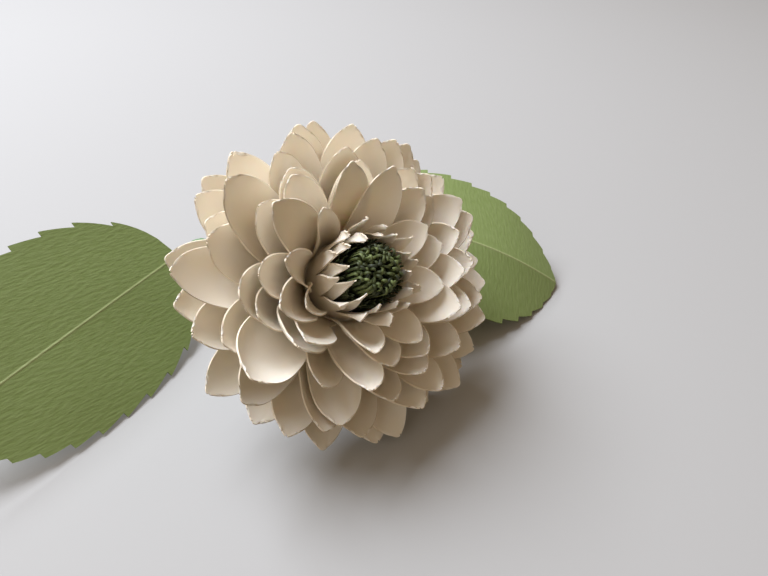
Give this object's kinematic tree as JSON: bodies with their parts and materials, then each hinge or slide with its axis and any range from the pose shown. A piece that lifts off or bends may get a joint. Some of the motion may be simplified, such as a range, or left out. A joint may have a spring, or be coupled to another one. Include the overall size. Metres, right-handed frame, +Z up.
{
  "type": "paper flower",
  "caption": "Layered cream paper flower head with a dark green fringed centre, a taped wire stem and serrated green leaves, lying as it rests on a table.",
  "frame": {"origin": "centre of the flower's bounding box, on the surface that the flower lies on", "axes": "+Z up; +X to the right as seen from the front, along the line from the left leaf to the right leaf; -Y towards the viewer"},
  "size_m": [0.1788, 0.1076, 0.0724],
  "materials": {
    "cream_card": "smooth uncoated cream card, dry and matt",
    "leaf_card": "ribbed green card with a scored midrib",
    "floral_tape": "waxy green crepe tape, wound round wire",
    "fringe_paper": "dark olive paper cut into fine fringe",
    "steel_wire": "drawn steel wire"
  },
  "bodies": {
    "root": {"petal_sheet_01": "cream_card", "petal_sheet_02": "cream_card", "petal_sheet_03": "cream_card", "petal_sheet_04": "cream_card", "petal_sheet_05": "cream_card", "petal_sheet_06": "cream_card", "petal_sheet_07": "cream_card", "petal_sheet_08": "cream_card", "petal_sheet_09": "cream_card", "petal_sheet_10": "cream_card", "petal_sheet_11": "cream_card", "collar_inner": "cream_card", "collar_outer": "cream_card", "fringe_dome": "fringe_paper", "fringe_ring": "fringe_paper", "stem_wire": "steel_wire", "stem_tape": "floral_tape", "leaf_stalk_left": "floral_tape", "leaf_stalk_right": "floral_tape", "leaf_left": "leaf_card", "leaf_right": "leaf_card"}
  },
  "joints": []
}
